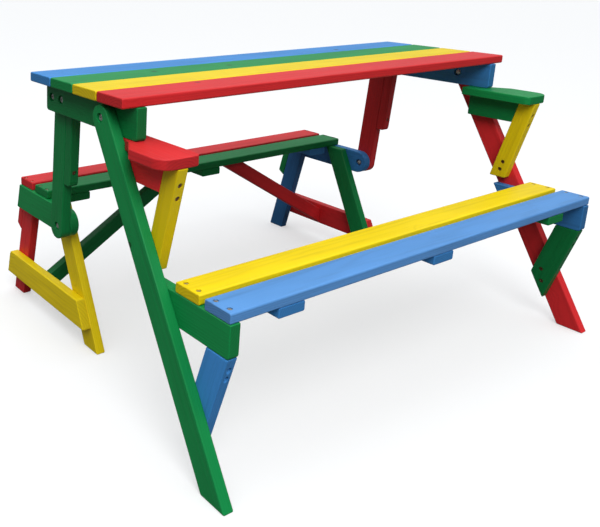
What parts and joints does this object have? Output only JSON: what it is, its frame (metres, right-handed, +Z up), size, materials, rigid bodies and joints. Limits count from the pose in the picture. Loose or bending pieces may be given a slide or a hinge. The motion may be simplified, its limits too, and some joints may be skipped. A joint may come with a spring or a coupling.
{
  "type": "convertible picnic table",
  "caption": "Small slatted wooden picnic table with seats on both sides and armrests at the front; the top tips up on pivots and becomes the back of a garden bench.",
  "frame": {"origin": "floor level, at the middle of the object's outline seen from above, with the table set up", "axes": "+X along the table to the right as seen from the front bench, +Y from the front bench with the armrests towards the rear bench, +Z up"},
  "size_m": [0.959, 0.7442, 0.51],
  "materials": {
    "wood_blue": "stained softwood, satin",
    "wood_green": "stained softwood, satin",
    "wood_yellow": "stained softwood, satin",
    "wood_red": "stained softwood, satin",
    "steel": "zinc plated"
  },
  "bodies": {
    "rear_bench": {"rear_rail_left": "wood_green", "rear_rail_right": "wood_blue", "rear_seat_plank_rear": "wood_red", "rear_seat_plank_front": "wood_green", "rear_batten_left": "wood_green", "rear_batten_middle": "wood_green", "rear_batten_right": "wood_blue", "rear_leg_left": "wood_red", "rear_leg_right": "wood_blue", "middle_leg_left": "wood_yellow", "middle_leg_right": "wood_green", "leg_block_left": "wood_red", "leg_block_right": "wood_green", "stretcher_left": "wood_yellow", "stretcher_right": "wood_red", "diagonal_left": "wood_green", "diagonal_right": "wood_red", "rear_pivot_bolts": "steel", "rear_pivot_nuts": "steel", "rear_seat_screws": "steel"},
    "table": {"table_plank_rear": "wood_blue", "table_plank_mid_rear": "wood_green", "table_plank_mid_front": "wood_yellow", "table_plank_front": "wood_red", "apron_left": "wood_green", "apron_right": "wood_blue", "upright_left": "wood_green", "upright_right": "wood_red", "upright_block_left": "wood_green", "upright_block_right": "wood_red", "apron_bolts": "steel", "apron_nuts": "steel", "upright_block_screws": "steel"},
    "front_bench": {"front_leg_left": "wood_green", "front_leg_right": "wood_red", "front_rail_left": "wood_green", "front_rail_right": "wood_blue", "front_seat_plank_rear": "wood_yellow", "front_seat_plank_front": "wood_blue", "front_batten_left": "wood_blue", "front_batten_middle": "wood_blue", "front_batten_right": "wood_green", "front_brace_left": "wood_blue", "front_brace_right": "wood_green", "arm_support_left": "wood_red", "arm_support_right": "wood_green", "arm_post_left": "wood_yellow", "arm_post_right": "wood_yellow", "armrest_left": "wood_red", "armrest_right": "wood_green", "front_pivot_bolts": "steel", "front_pivot_nuts": "steel", "front_seat_screws": "steel", "front_side_screws": "steel", "front_edge_screws": "steel"}
  },
  "joints": [
    {"name": "rear_pivot", "type": "hinge", "parent": "rear_bench", "child": "table", "pos_m": [0, 0.12614, 0.228], "axis": [-1, 0, 0], "range_deg": [0, 77.08]},
    {"name": "front_pivot", "type": "hinge", "parent": "table", "child": "front_bench", "pos_m": [0, -0.06586, 0.469], "axis": [1, 0, 0], "range_deg": [0, 77.08]}
  ],
  "couplings": [
    {"joint": "front_pivot", "follows": "rear_pivot", "ratio": 1}
  ]
}
